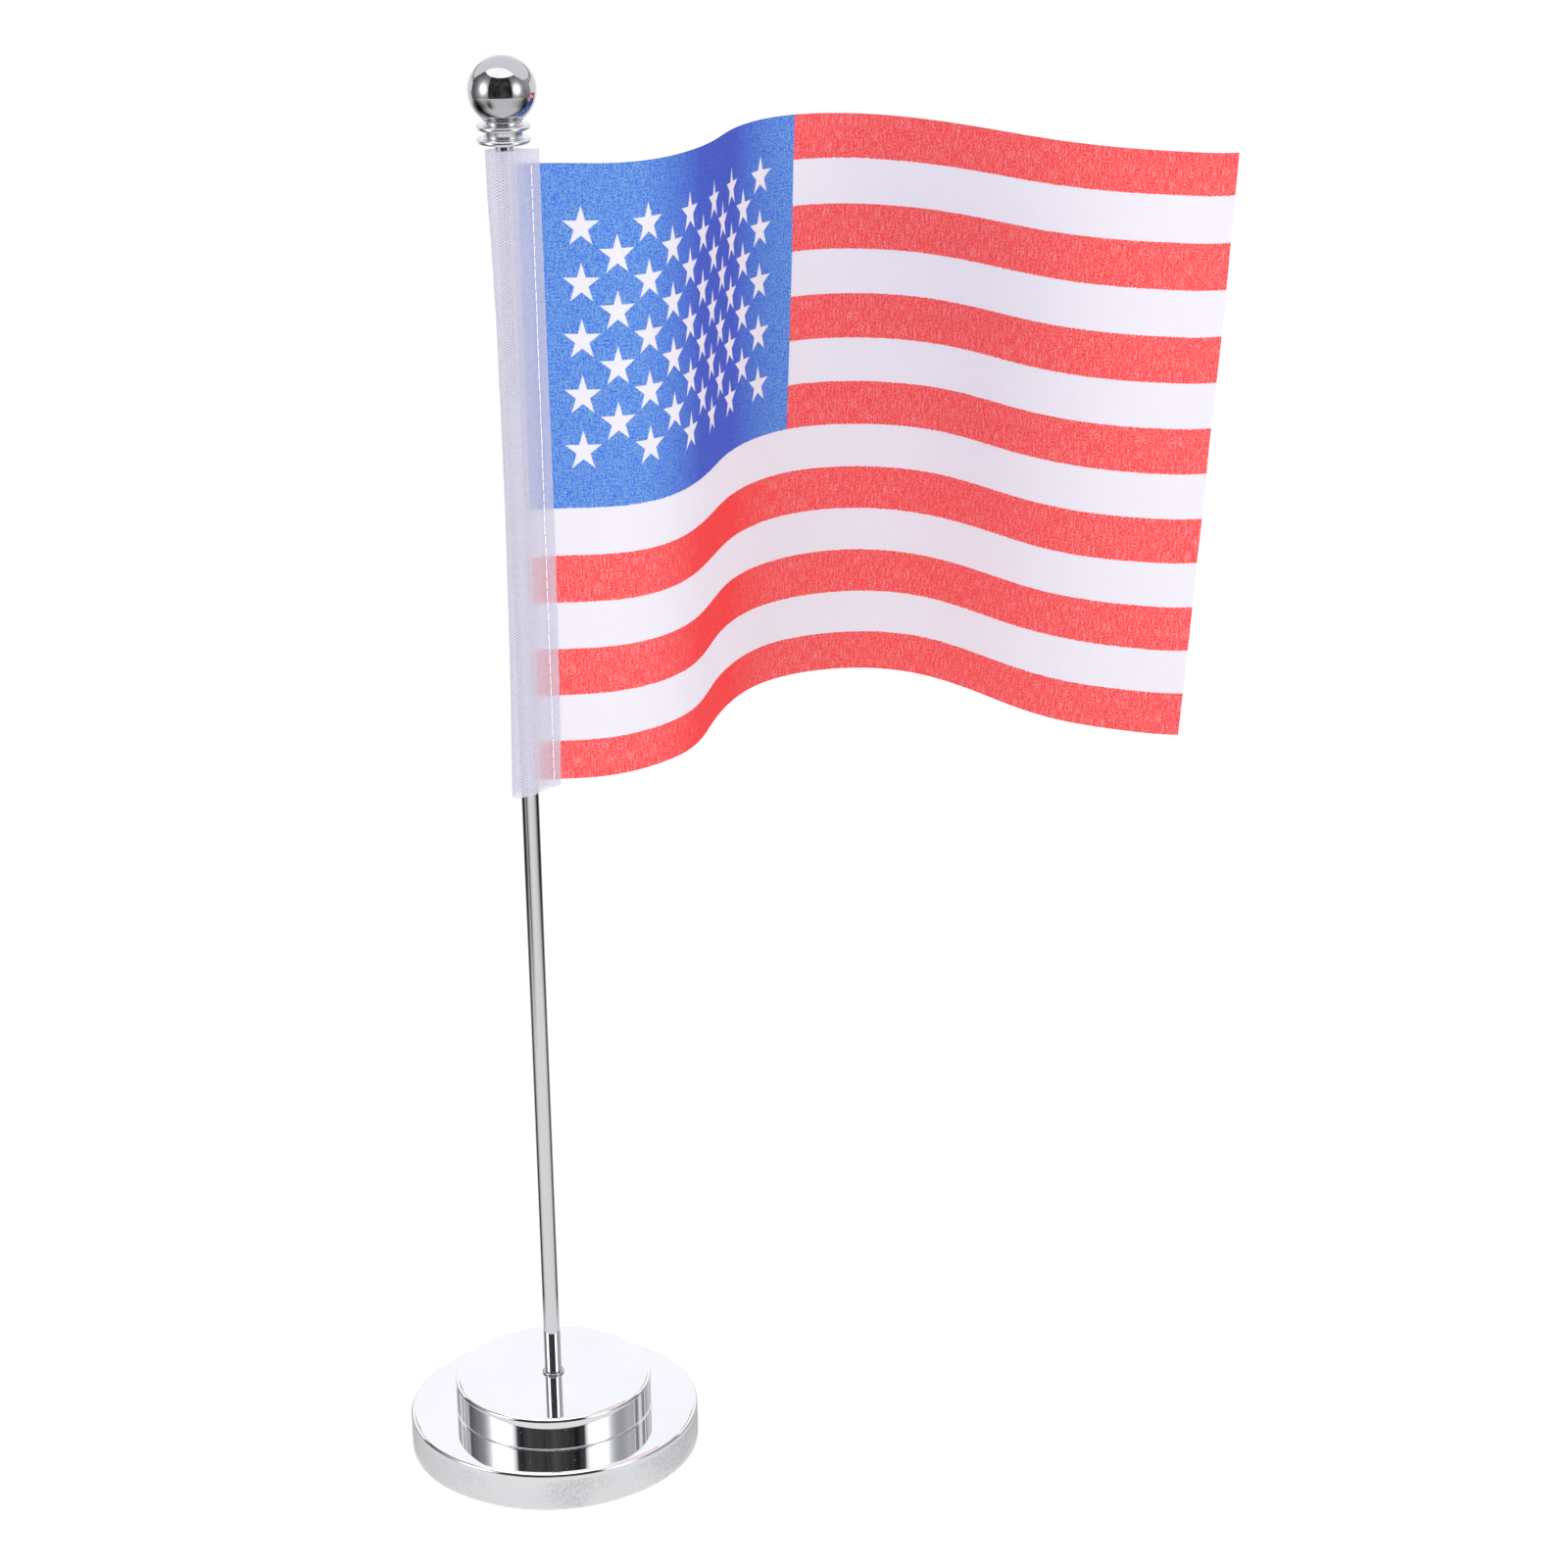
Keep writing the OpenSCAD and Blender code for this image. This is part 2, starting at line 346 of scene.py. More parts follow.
def shellPiece(name, node, bore):
    # pressed cup: flat top, rolled edge, straight wall, open underneath
    r, low, high = radiusOf(node), bottomOf(node), topOf(node)
    edge, sheet, rim = discSet["edge"], discSet["sheet"], discSet["rimRound"]
    outline = [(bore, high - sheet), (bore, high)]
    outline += arc(r - edge, high - edge, edge, 90, 0, 10)
    outline += arc(r - rim, low + rim, rim, 0, -90, 4)
    outline += [(r - sheet, low), (r - sheet, high - sheet)]
    piece = lathe(name, outline, 256)
    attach(piece, "base")
    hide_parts(node)
    return piece


shellMetal = platedMetal("shellPlating", platingSet["colour"], platingSet["dull"],
                         discSet["wave"], discSet["dust"])
lowerDisc = shellPiece("baseShell", "base_shell", discSet["bore"])
upperDisc = shellPiece("stepShell", "step_shell", discSet["stepBore"])
lowerDisc.data.materials.append(
    platedMetal("lowerPlating", platingSet["colour"], platingSet["dull"],
                discSet["wave"], discSet["dust"], 0, discSet["mottleTop"]))
upperDisc.data.materials.append(shellMetal)

ringSet = {"outer": 2.65 * mm, "inner": 1.6 * mm,
           "colour": (0.5, 0.5, 0.515, 1), "dull": (0.4, 0.4, 0.415, 1), "wave": 0.02}


def footRingPiece():
    low, high = bottomOf("foot_ring"), topOf("foot_ring")
    half = (high - low) / 2
    outline = [(ringSet["inner"], low), (ringSet["inner"], high)]
    outline += arc(ringSet["outer"] - half, low + half, half, 90, -90, 10)
    piece = lathe("footRing", outline, 96)
    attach(piece, "ring")
    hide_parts("foot_ring")
    return piece


rodMetal = drawnRod("drawnRod")
footRingPiece().data.materials.append(
    platedMetal("ringPlating", ringSet["colour"], ringSet["dull"], ringSet["wave"]))

rodSet = {"radius": 2.0 * mm, "foot": 1.5 * mm, "socket": 1.3 * mm, "socketDepth": 8 * mm,
          "footRound": 0.2 * mm, "topRound": 0.15 * mm, "hollow": 0.5 * mm, "threadOver": 0.3 * mm}
threadSet = {"footPitch": 0.5 * mm, "studPitch": 0.45 * mm, "depth": 0.16 * mm,
             "lead": 0.15 * mm, "sides": 48}


def threadPoints(radius, low, high, pitch):
    # rings of points up a right-hand thread, the crest winding round
    rows = ceil((high - low) / (pitch / 8))
    rings = []
    for k in range(rows + 1):
        z = low + (high - low) * k / rows
        taper = min(1, (z - low) / (1.2 * pitch), (high - z) / (0.8 * pitch) + 0.02)
        ring = []
        for i in range(threadSet["sides"]):
            turn = i / threadSet["sides"]
            phase = (z / pitch - turn) % 1
            cut = threadSet["depth"] * (1 - abs(2 * phase - 1)) * max(0, taper)
            r = radius - cut - (threadSet["lead"] * max(0, 1 - (z - low) / (0.6 * pitch)))
            a = 2 * pi * turn
            ring.append((r * cos(a), r * sin(a), z))
        rings.append(ring)
    return rings


def threadedPiece(name, radius, low, high, pitch):
    rings = threadPoints(radius, low, high, pitch)
    sides = threadSet["sides"]
    points = [p for ring in rings for p in ring] + [(0, 0, low), (0, 0, high)]
    faces = []
    for k in range(len(rings) - 1):
        for i in range(sides):
            n = (i + 1) % sides
            faces.append((k * sides + i, k * sides + n, (k + 1) * sides + n, (k + 1) * sides + i))
    last = (len(rings) - 1) * sides
    for i in range(sides):
        n = (i + 1) % sides
        faces.append((len(points) - 2, n, i))
        faces.append((len(points) - 1, last + i, last + n))
    piece = addPiece(name, points, faces)
    tidyMesh(piece, 40)
    return piece


def polePieces():
    r, top = rodSet["radius"], topOf("pole_rod")
    shoulder = topOf("foot_ring")
    low, edge, hollow = rodSet["footRound"], rodSet["topRound"], rodSet["hollow"]
    outline = [(rodSet["foot"], shoulder)] + arc(r - low, shoulder + low, low, -90, 0, 5)
    outline += arc(r - edge, top - edge, edge, 0, 90, 4)
    outline += [(rodSet["socket"], top), (rodSet["socket"], top - rodSet["socketDepth"])]
    outline += [(0, top - rodSet["socketDepth"]), (0, shoulder + hollow)]
    outline += [(rodSet["foot"], shoulder + hollow)]
    rod = lathe("poleRod", outline, 128)
    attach(rod, "pole")
    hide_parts("pole_rod")
    foot = threadedPiece("poleFootThread", rodSet["foot"], bottomOf("pole_rod"),
                         shoulder + rodSet["threadOver"], threadSet["footPitch"])
    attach(foot, "pole")
    stud = threadedPiece("finialStud", radiusOf("finial_stud"), bottomOf("finial_stud"),
                         topOf("finial_stud"), threadSet["studPitch"])
    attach(stud, "stud")
    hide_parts("finial_stud")
    return rod, foot, stud


rod, foot, stud = polePieces()
rod.data.materials.append(rodMetal)
steel = zincSteel("zincSteel")
for piece in (foot, stud):
    piece.data.materials.append(steel)

finialSet = {"waist": 4.15 * mm, "bead": 5.85 * mm, "beadHalf": 0.62 * mm,
             "beadLow": 0.8 * mm, "beadStep": 2.9 * mm, "bore": 1.3 * mm, "ball": 7.4 * mm,
             "fillet": 0.25 * mm, "flare": 0.35 * mm, "flareDrop": 0.4 * mm, "waistEnd": 0.45 * mm}


def finialPieces():
    s, base, seat = finialSet, bottomOf("finial_collar"), topOf("finial_collar")
    half, waist, fillet, flare = s["beadHalf"], s["waist"], s["fillet"], s["flare"]
    outline = [(s["bore"], base), (waist, base)]
    for z in (base + s["beadLow"], base + s["beadLow"] + s["beadStep"]):
        root = s["bead"] - half
        outline += [(waist + fillet, z - half)] + arc(root, z, half, -90, 90, 14)
        outline += [(waist + fillet, z + half)]
        outline += arc(waist + fillet, z + half + fillet, fillet, -90, -180, 4)
    outline += [(waist, seat - s["waistEnd"])]
    outline += arc(waist + flare, seat - s["flareDrop"], flare, 180, 95, 6)
    outline += [(s["bore"], seat)]
    collar = lathe("finialCollar", outline, 192)
    centre = topOf("finial_ball") - s["ball"]
    ball = lathe("finialBall", ballOutline(s["ball"], centre, seat), 224)
    for piece, node in ((collar, "finial_collar"), (ball, "finial_ball")):
        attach(piece, "finial")
        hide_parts(node)
    return collar, ball


def ballOutline(r, centre, seat):
    low = degrees(asin((seat - centre) / r))
    return [(0, seat)] + arc(0, centre, r, low, 90, 90)[:-1] + [(0, centre + r)]


finialMetal = platedMetal("finialPlating", (0.57, 0.565, 0.59, 1), (0.49, 0.485, 0.51, 1), 0.015, 0.25)
collarMetal = platedMetal("collarPlating", (0.8, 0.795, 0.815, 1), (0.7, 0.695, 0.715, 1), 0.02, 0.25, 0.22)
for piece, look in zip(finialPieces(), (collarMetal, finialMetal)):
    piece.data.materials.append(look)

for node, look in (("ballast_disc", castIron("castIron")), ("step_filler", mouldedFiller("filler")),
                   ("foot_pad", padFoam("padFoam")), ("sleeve_nut", steel), ("nut_washer", steel)):
    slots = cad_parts[node].data.materials
    slots.clear()
    slots.append(look)
print("metal pieces made")


# Flag and sleeve.
clothSet = {
    "high": 140.0, "long": 205.0, "inside": 5.0, "thick": 0.16,  # millimetres
    "seam": 7.4, "top": 309.0, "columns": 260, "rows": 176,
    "ripple": 0.5, "rippleSize": 26.0,
    # headings in degrees and sag in millimetres, at every 10 mm along the fly
    "topTurn": (0, -1.4, 25.1, 48.9, 62.4, 68, 71.8, 69.8, 60.6, 43, 20.7,
                0.6, -14.2, -25.3, -32.5, -32.3, -24.4, -11.7, 2, 13, 20.8, 24.3),
    "lowTurn": (0, 18.7, 37.1, 51.8, 66.8, 74.2, 74.4, 70.3, 62.7, 50.6, 34.6,
                16.8, -1.5, -20.6, -37.8, -46.9, -45.6, -35.9, -22, -10.2, -2.5, 0.6),
    "midTurn": (0, -3.9, -1.6, 1.8, 1.7, 0, -0.7, -1.1, -1.2, -0.5, 0.4,
                0.4, -0.5, -1.9, -3.3, -4.4, -4.6, -3.7, -1.7, 1.1, 5.1, 7.9),
    "sag": (0, 0.24, 0.58, 0.95, 1.33, 1.68, 1.99, 2.27, 2.57, 2.9, 3.29,
            3.77, 4.34, 4.99, 5.72, 6.53, 7.42, 8.37, 9.41, 10.54, 11.75, 12.39),
}
printSet = {
    "stripe": 10.867, "slope": 1.6 / 205, "start": 0.5,  # the print sits slightly askew on the cloth
    "cantonStripes": 7, "canton": 96.95, "starWide": 4.24, "starHigh": 4.72,
    "lean": 0.0205, "leanFrom": 45, "leanEnds": (36, 50),  # of the stars by the hem, and where it fades out
    "foldShadeIn": (22, 45), "foldShadeOut": (72, 95),  # where painted shade darkens the fold, along the fly
    "firstStar": 7.66, "starStep": 7.844, "starTop": 13.42, "starRow": 12.438,
    "red": (0.86, 0.055, 0.057, 1), "redPale": (0.86, 0.32, 0.33, 1),
    # the darkest blue is painted shade for the fold
    "blue": (0.045, 0.16, 0.73, 1), "bluePale": (0.23, 0.44, 0.68, 1), "blueFoldShade": (0.06, 0.095, 0.58, 1),
    "white": (0.81, 0.79, 0.835, 1), "whiteDim": (0.77, 0.745, 0.815, 1),
    "weave": 0.3, "through": 0.35,  # thread pitch in millimetres, and the share of light let through
}


def ease(t):
    u = min(1.0, max(0.0, t))
    return u * u * (3 - 2 * u)


def along(table, s):
    # smooth curve through a list given at every 10 mm
    t = min(len(table) - 1.001, max(0.0, s / 10))
    k = int(t)
    u = t - k
    p = [table[min(len(table) - 1, max(0, k + q))] for q in (-1, 0, 1, 2)]
    slope, nextSlope = (p[2] - p[0]) / 2, (p[3] - p[1]) / 2
    return ((2 * u ** 3 - 3 * u ** 2 + 1) * p[1] + (u ** 3 - 2 * u ** 2 + u) * slope
            + (3 * u ** 2 - 2 * u ** 3) * p[2] + (u ** 3 - u ** 2) * nextSlope)


def clothGrid():
    # the cloth all but keeps its length, along the fly and up the hoist
    c = clothSet
    step = (c["inside"] + c["long"]) / c["columns"]
    stations = [step * i - c["inside"] for i in range(c["columns"] + 1)]
    middles = [s - step / 2 for s in stations[1:]]
    turns = [[along(c[name], s) for s in middles] for name in ("topTurn", "lowTurn", "midTurn")]
    plans = []
    for j in range(c["rows"] + 1):
        v = j / c["rows"]
        x, y, plan = c["seam"] - c["inside"], 0.0, [(c["seam"] - c["inside"], 0.0)]
        for high, low, mid in zip(*turns):
            h = radians(high * (1 - v) + low * v + 4 * v * (1 - v) * mid)
            x, y = x + step * cos(h), y + step * sin(h)
            plan.append((x, y))
        plans.append(plan)
    grid = []
    drop = c["high"] / c["rows"]
    for i, s in enumerate(stations):
        z = c["top"] - along(c["sag"], s)
        column = [Vector((*plans[0][i], z))]
        for above, plan in zip(plans, plans[1:]):
            dx, dy = plan[i][0] - above[i][0], plan[i][1] - above[i][1]
            z -= sqrt(max(0.01, drop * drop - dx * dx - dy * dy))
            column.append(Vector((*plan[i], z)))
        grid.append(column)
    return grid


def gridNormals(grid):
    wide, high = len(grid), len(grid[0])
    normals = []
    for i in range(wide):
        a, b = grid[max(0, i - 1)], grid[min(wide - 1, i + 1)]
        column = []
        for j in range(high):
            rise = grid[i][max(0, j - 1)] - grid[i][min(high - 1, j + 1)]
            column.append(((b[j] - a[j]).cross(rise)).normalized())
        normals.append(column)
    return normals


def sheetPiece(name, grid, thick, normals=None):
    # closed thin sheet: two layers and a rim, with the flat cut as its UVs; the grid is in millimetres
    wide, high = len(grid), len(grid[0])
    normals = normals or gridNormals(grid)
    points, flatUv = [], []
    for side in (-0.5, 0.5):
        for i in range(wide):
            for j in range(high):
                points.append((grid[i][j] + normals[i][j] * thick * side) * mm)
                flatUv.append((i / (wide - 1), 1 - j / (high - 1)))
    back = wide * high
    front = [(a, d, c, b) for a, b, c, d in gridFaces(wide, high)]
    faces = front + [(a + back, b + back, c + back, d + back) for a, b, c, d in gridFaces(wide, high)]
    for i in range(wide - 1):
        for a, b in ((i * high, (i + 1) * high), ((i + 2) * high - 1, (i + 1) * high - 1)):
            faces.append((a, b, b + back, a + back))
    for j in range(high - 1):
        for a in (j + 1, (wide - 1) * high + j):
            b = a - 1 if a == j + 1 else a + 1
            faces.append((a, b, b + back, a + back))
    piece = addPiece(name, points, faces, flatUv)
    piece.data.set_sharp_from_angle(angle=radians(50))
    return piece


def flagPiece():
    c = clothSet
    grid = clothGrid()
    normals = gridNormals(grid)
    for i, column in enumerate(grid):
        free = ease((i / c["columns"] * (c["long"] + c["inside"]) - c["inside"]) / 25)
        for j, point in enumerate(column):
            slow = noise.noise(Vector((i / c["columns"] * 210, j / c["rows"] * 140, 3.0)) / c["rippleSize"])
            point += normals[i][j] * slow * c["ripple"] * free
    piece = sheetPiece("flagCloth", grid, c["thick"], normals)
    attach(piece, "flag_set")
    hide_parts("flag")
    return piece


def starField(shade, x, y, firstX, firstY, columns, rows):
    # one lattice of five-pointed stars; both steps of a lattice are twice the staggered pitch
    p = printSet
    stepX, stepY = 2 * p["starStep"], p["starRow"]
    cellX = shade.math("DIVIDE", shade.math("SUBTRACT", x, firstX - stepX / 2), stepX)
    cellY = shade.math("DIVIDE", shade.math("SUBTRACT", y, firstY - stepY / 2), stepY)
    offX = shade.math("SUBTRACT", shade.math("FRACT", cellX), 0.5)
    localX = shade.math("MULTIPLY", offX, stepX / p["starWide"])
    offY = shade.math("SUBTRACT", shade.math("FRACT", cellY), 0.5)
    localY = shade.math("MULTIPLY", offY, -stepY / p["starHigh"])
    angle = shade.math("PINGPONG", shade.math("ARCTAN2", localX, localY), pi / 5)
    reach = shade.math("SQRT", shade.math("ADD", shade.math("MULTIPLY", localX, localX),
                                          shade.math("MULTIPLY", localY, localY)))
    edge = shade.math("MULTIPLY", reach, shade.math("COSINE", shade.math("SUBTRACT", angle, 0.4 * pi)))
    star = shade.remap(edge, cos(0.4 * pi) + 0.012, cos(0.4 * pi) - 0.012, 0, 1)
    for value, count in ((cellX, columns), (cellY, rows)):
        star = shade.math("MULTIPLY", star, shade.math("GREATER_THAN", value, 0))
        star = shade.math("MULTIPLY", star, shade.math("LESS_THAN", value, count))
    return star


def flagPrint():
    shade = Shade("flagPrint")
    p, c = printSet, clothSet
    flat = shade.add("ShaderNodeUVMap", uv_map="flat")
    split = shade.add("ShaderNodeSeparateXYZ")
    shade.link(flat.outputs[0], split.inputs[0])
    x = shade.math("MULTIPLY_ADD", split.outputs[0], c["long"] + c["inside"], -c["inside"])
    y = shade.math("MULTIPLY", shade.math("SUBTRACT", 1, split.outputs[1]), c["high"])
    inMm = shade.add("ShaderNodeCombineXYZ")
    shade.link(x, inMm.inputs[0])
    shade.link(y, inMm.inputs[1])

    def threads(scale, size, detail=2):
        spread = shade.add("ShaderNodeMapping")
        spread.inputs["Scale"].default_value = scale
        shade.link(inMm.outputs[0], spread.inputs["Vector"])
        return shade.noise(spread.outputs[0], size, detail, 0.6)

    # the ink's edge wanders by a thread or two
    askew = shade.math("MULTIPLY_ADD", x, p["slope"], -p["start"])
    printY = shade.math("MAXIMUM", 0.01, shade.math("ADD", y, askew))
    bleedY = shade.math("ADD", printY, shade.remap(threads((1, 1, 1), 3.2, 1), 0.3, 0.7, -0.16, 0.16))
    bleedX = shade.math("ADD", x, shade.remap(threads((1, 1, 1), 3.6, 1), 0.3, 0.7, -0.16, 0.16))
    band = shade.math("FRACT", shade.math("MULTIPLY", shade.math("MAXIMUM", 0.01, bleedY), 0.5 / p["stripe"]))
    red = shade.math("LESS_THAN", band, 0.5)
    canton = shade.math("MULTIPLY", shade.math("LESS_THAN", bleedX, p["canton"]),
                        shade.math("LESS_THAN", bleedY, p["stripe"] * p["cantonStripes"]))
    # the first stars lean a little by the hem, as if sewn askew
    skew = shade.math("MULTIPLY_ADD", y, -p["lean"], p["lean"] * p["leanFrom"])
    starX = shade.math("SUBTRACT", x, shade.math("MULTIPLY", skew, shade.remap(x, *p["leanEnds"], 1, 0)))
    wide = starField(shade, starX, printY, p["firstStar"], p["starTop"], 6, 5)
    narrow = starField(shade, starX, printY, p["firstStar"] + p["starStep"],
                       p["starTop"] + p["starRow"] / 2, 5, 4)
    star = shade.math("MAXIMUM", wide, narrow)

    warp = threads((3.6, 0.32, 1), 1, 2)        # runs up and down
    weft = threads((0.4, 3.4, 1), 1, 1)
    grain = threads((1, 1, 1), 2.2, 3)
    # painted shade of the fold: deeper blue ink and fewer pale thread flecks there
    foldShade = shade.math("MULTIPLY", shade.remap(x, *p["foldShadeIn"], 0, 1),
                       shade.remap(x, p["foldShadeOut"][1], p["foldShadeOut"][0], 0, 1))
    unshadedShare = shade.math("SUBTRACT", 1, shade.math("MULTIPLY", foldShade, 0.75))
    fleck = shade.math("MULTIPLY", shade.remap(warp, 0.48, 0.66, 0, 1),
                       shade.remap(grain, 0.38, 0.6, 0.2, 1))
    crossed = shade.math("ADD", shade.math("MULTIPLY", warp, 0.25), shade.math("MULTIPLY", weft, 0.15))
    mottle = shade.math("ADD", shade.math("MULTIPLY", grain, 0.6), crossed)
    redShare = shade.math("ADD", fleck, shade.remap(grain, 0.4, 0.62, 0, 0.5))
    redInk = shade.blendColour(shade.math("MULTIPLY", redShare, unshadedShare), p["red"], p["redPale"])
    deep = shade.blendColour(foldShade, p["blue"], p["blueFoldShade"])
    blueShare = shade.math("MULTIPLY", shade.remap(mottle, 0.42, 0.58, 0, 1), unshadedShare)
    blueInk = shade.blendColour(blueShare, deep, p["bluePale"])
    bare = shade.blendColour(shade.remap(warp, 0.3, 0.7, 0, 0.4), p["white"], p["whiteDim"])
    stripes = shade.blendColour(red, bare, redInk)
    field = shade.blendColour(star, blueInk, bare)
    paint = shade.blendColour(canton, stripes, field)

    # plain weave, with threads each way at an even pitch
    pitch = 2 * pi / (2 * p["weave"])
    weave = shade.math("MULTIPLY", shade.math("SINE", shade.math("MULTIPLY", x, pitch)),
                       shade.math("SINE", shade.math("MULTIPLY", y, pitch)))
    height = shade.math("ADD", shade.math("MULTIPLY", weave, 0.5), shade.math("MULTIPLY", warp, 0.8))
    normal = shade.bump(height, 0.35, 0.04 * mm)
    rough = shade.remap(grain, 0.3, 0.7, 0.72, 0.88)
    cloth = shade.principled(paint, rough, 0, normal, Specular_IOR_Level=0.1)
    glow = shade.add("ShaderNodeBsdfTranslucent")
    shade.link(paint, glow.inputs["Color"])
    shade.link(normal, glow.inputs["Normal"])
    both = shade.add("ShaderNodeMixShader")
    both.inputs[0].default_value = p["through"]
    shade.link(cloth, both.inputs[1])
    shade.link(glow.outputs[0], both.inputs[2])
    return shade.finish(both.outputs[0])


sleeveSet = {
    "top": 312.1, "long": 147.0, "thick": 0.15, "round": 2.42, "meetX": 5.2, "gap": 0.17,
    "rows": 150, "mesh": 0.48,  # pitch of the open weave
    "wrapX": 0.3, "sideSteps": 26,  # where it leaves the pole, and the steps from there to a free edge
    "dim": (0.68, 0.665, 0.755, 1), "bright": (0.82, 0.8, 0.9, 1), "through": 0.45,
    # place of the fold behind the pole and of the free edge, from the top down
    "fold": (-4.08, -3.96, -3.62, -3.36, -3.15, -3.12, -3.04, -2.99, -2.98, -3.06, -3.16, -3.24, -3.42, -3.64,
             -3.86, -4.08),
    "free": (7.46, 7.45, 7.47, 7.52, 7.56, 7.6, 7.64, 7.68, 7.7, 7.7, 7.68, 7.6, 7.5, 7.36, 7.2, 7.0),
}


def pocketHalf(x, bulge):
    s = sleeveSet
    if x < s["wrapX"]:
        return s["round"] * bulge
    if x > s["meetX"]:
        return s["gap"]
    share = (1 + cos(pi * (x - s["wrapX"]) / (s["meetX"] - s["wrapX"]))) / 2
    return s["gap"] + (s["round"] * bulge - s["gap"]) * share


def sleeveSection(z):
    # from the front free edge, round the fold behind the pole, to the back free edge
    s = sleeveSet
    down = s["top"] - z
    fold, free = along(s["fold"], down), along(s["free"], down)
    bulge = 1 + 0.02 * noise.noise(Vector((4, 0, z / 16.0)))
    r = s["round"] * bulge
    wrap, steps = s["wrapX"], s["sideSteps"]
    xs = [free + (wrap - free) * k / steps for k in range(steps + 1)]
    front = [(x + 0.05 * noise.noise(Vector((x, 1, z / 9.0))), -pocketHalf(x, bulge)) for x in xs]
    deep = wrap - fold
    turn = [(wrap + deep * cos(radians(a)), r * sin(radians(a))) for a in range(260, 99, -10)]
    rear = [(x, -y) for x, y in reversed(front)]
    return front + turn + rear


def sleevePiece():
    s = sleeveSet
    grid = []
    levels = [s["top"] - s["long"] * j / s["rows"] for j in range(s["rows"] + 1)]
    sections = [sleeveSection(z) for z in levels]
    for i in range(len(sections[0])):
        column = []
        for z, section in zip(levels, sections):
            x, y = section[i]
            lift = 2.5 * (x + 4) / 11 * ease((s["top"] - z) / s["long"] * 6 - 5)
            column.append(Vector((x, y, z + lift)))
        grid.append(column)
    around = sum((grid[i + 1][40] - grid[i][40]).length for i in range(len(grid) - 1))
    piece = sheetPiece("sleeveCloth", grid, s["thick"])
    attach(piece, "flag_set")
    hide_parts("sleeve")
    return piece, around


def sleeveMesh(around):
    # open weave on the bias, seen through between its threads
    shade = Shade("sleeveMesh")
    s = sleeveSet
    flat = shade.add("ShaderNodeUVMap", uv_map="flat")
    split = shade.add("ShaderNodeSeparateXYZ")
    shade.link(flat.outputs[0], split.inputs[0])
    x = shade.math("MULTIPLY", split.outputs[0], around)
    y = shade.math("MULTIPLY", split.outputs[1], s["long"])
    turn = 2 * pi / s["mesh"] / sqrt(2)
    one = shade.math("SINE", shade.math("MULTIPLY", shade.math("ADD", x, y), turn))
    two = shade.math("SINE", shade.math("MULTIPLY", shade.math("SUBTRACT", x, y), turn))
    weave = shade.math("MAXIMUM", one, two)
    place = shade.add("ShaderNodeCombineXYZ")
    shade.link(x, place.inputs[0])
    shade.link(y, place.inputs[1])
    haze = shade.noise(place.outputs[0], 0.9, 3, 0.6)
    cover = shade.math("ADD", shade.remap(weave, -0.3, 0.9, 0.3, 0.6),
                       shade.remap(haze, 0.3, 0.7, -0.05, 0.05))
    paint = shade.blendColour(shade.remap(weave, -0.2, 0.9, 0, 1), s["dim"], s["bright"])
    normal = shade.bump(weave, 0.4, 0.05 * mm)
    rough = shade.remap(haze, 0.3, 0.7, 0.4, 0.55)
    cloth = shade.principled(paint, rough, 0, normal, Sheen_Weight=0.1)
    glow = shade.add("ShaderNodeBsdfTranslucent")
    shade.link(paint, glow.inputs["Color"])
    body = shade.add("ShaderNodeMixShader")
    body.inputs[0].default_value = s["through"]
    shade.link(cloth, body.inputs[1])
    shade.link(glow.outputs[0], body.inputs[2])
    clear = shade.add("ShaderNodeBsdfTransparent")
    both = shade.add("ShaderNodeMixShader")
    shade.link(cover, both.inputs[0])
    shade.link(clear.outputs[0], both.inputs[1])
    shade.link(body.outputs[0], both.inputs[2])
    return shade.finish(both.outputs[0])


stitchSet = {"x": 5.6, "pitch": 2.5, "length": 2.4, "radius": 0.1, "tip": 0.35, "bottom": 168.9, "top": 310.4,
             "sides": 8, "steps": 8, "wander": 0.07, "lean": 0.05, "arch": 0.2, "sunk": 0.12}


def stitchTube(points, faces, path, radius, sides):
    start = len(points)
    for k, p in enumerate(path):
        a, b = path[max(0, k - 1)], path[min(len(path) - 1, k + 1)]
        ahead = (b - a).normalized()
        across = ahead.cross(Vector((1, 0, 0))).normalized()
        third = ahead.cross(across)
        size = radius * (stitchSet["tip"] if k in (0, len(path) - 1) else 1)
        for i in range(sides):
            turn = 2 * pi * i / sides
            points.append((p + (across * cos(turn) + third * sin(turn)) * size) * mm)
    for k in range(len(path) - 1):
        for i in range(sides):
            n = (i + 1) % sides
            row = start + k * sides
            faces.append((row + i, row + n, row + sides + n, row + sides + i))
    faces.append(tuple(start + i for i in reversed(range(sides))))
    end = start + (len(path) - 1) * sides
    faces.append(tuple(end + i for i in range(sides)))


def stitchPiece():
    # a row of lock stitches through sleeve and flag, one run on each face
    t, points, faces = stitchSet, [], []
    surface = sleeveSet["gap"] + sleeveSet["thick"] / 2
    count = int((t["top"] - t["bottom"]) / t["pitch"])
    for side in (-1, 1):
        for k in range(count):
            z = t["bottom"] + k * t["pitch"]
            wander = t["wander"] * noise.noise(Vector((side, 2, z / 7.0)))
            path = []
            for q in range(t["steps"] + 1):
                share = q / t["steps"]
                lift = (sin(pi * share) ** 0.5 if 0 < share < 1 else 0) * t["arch"] - t["sunk"]
                x = t["x"] + wander + t["lean"] * (share - 0.5)
                path.append(Vector((x, side * (surface + lift), z + t["length"] * share)))
            stitchTube(points, faces, path, t["radius"], t["sides"])
    piece = addPiece("hoistThread", points, faces)
    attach(piece, "flag_set")
    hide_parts("hoist_thread")
    return piece


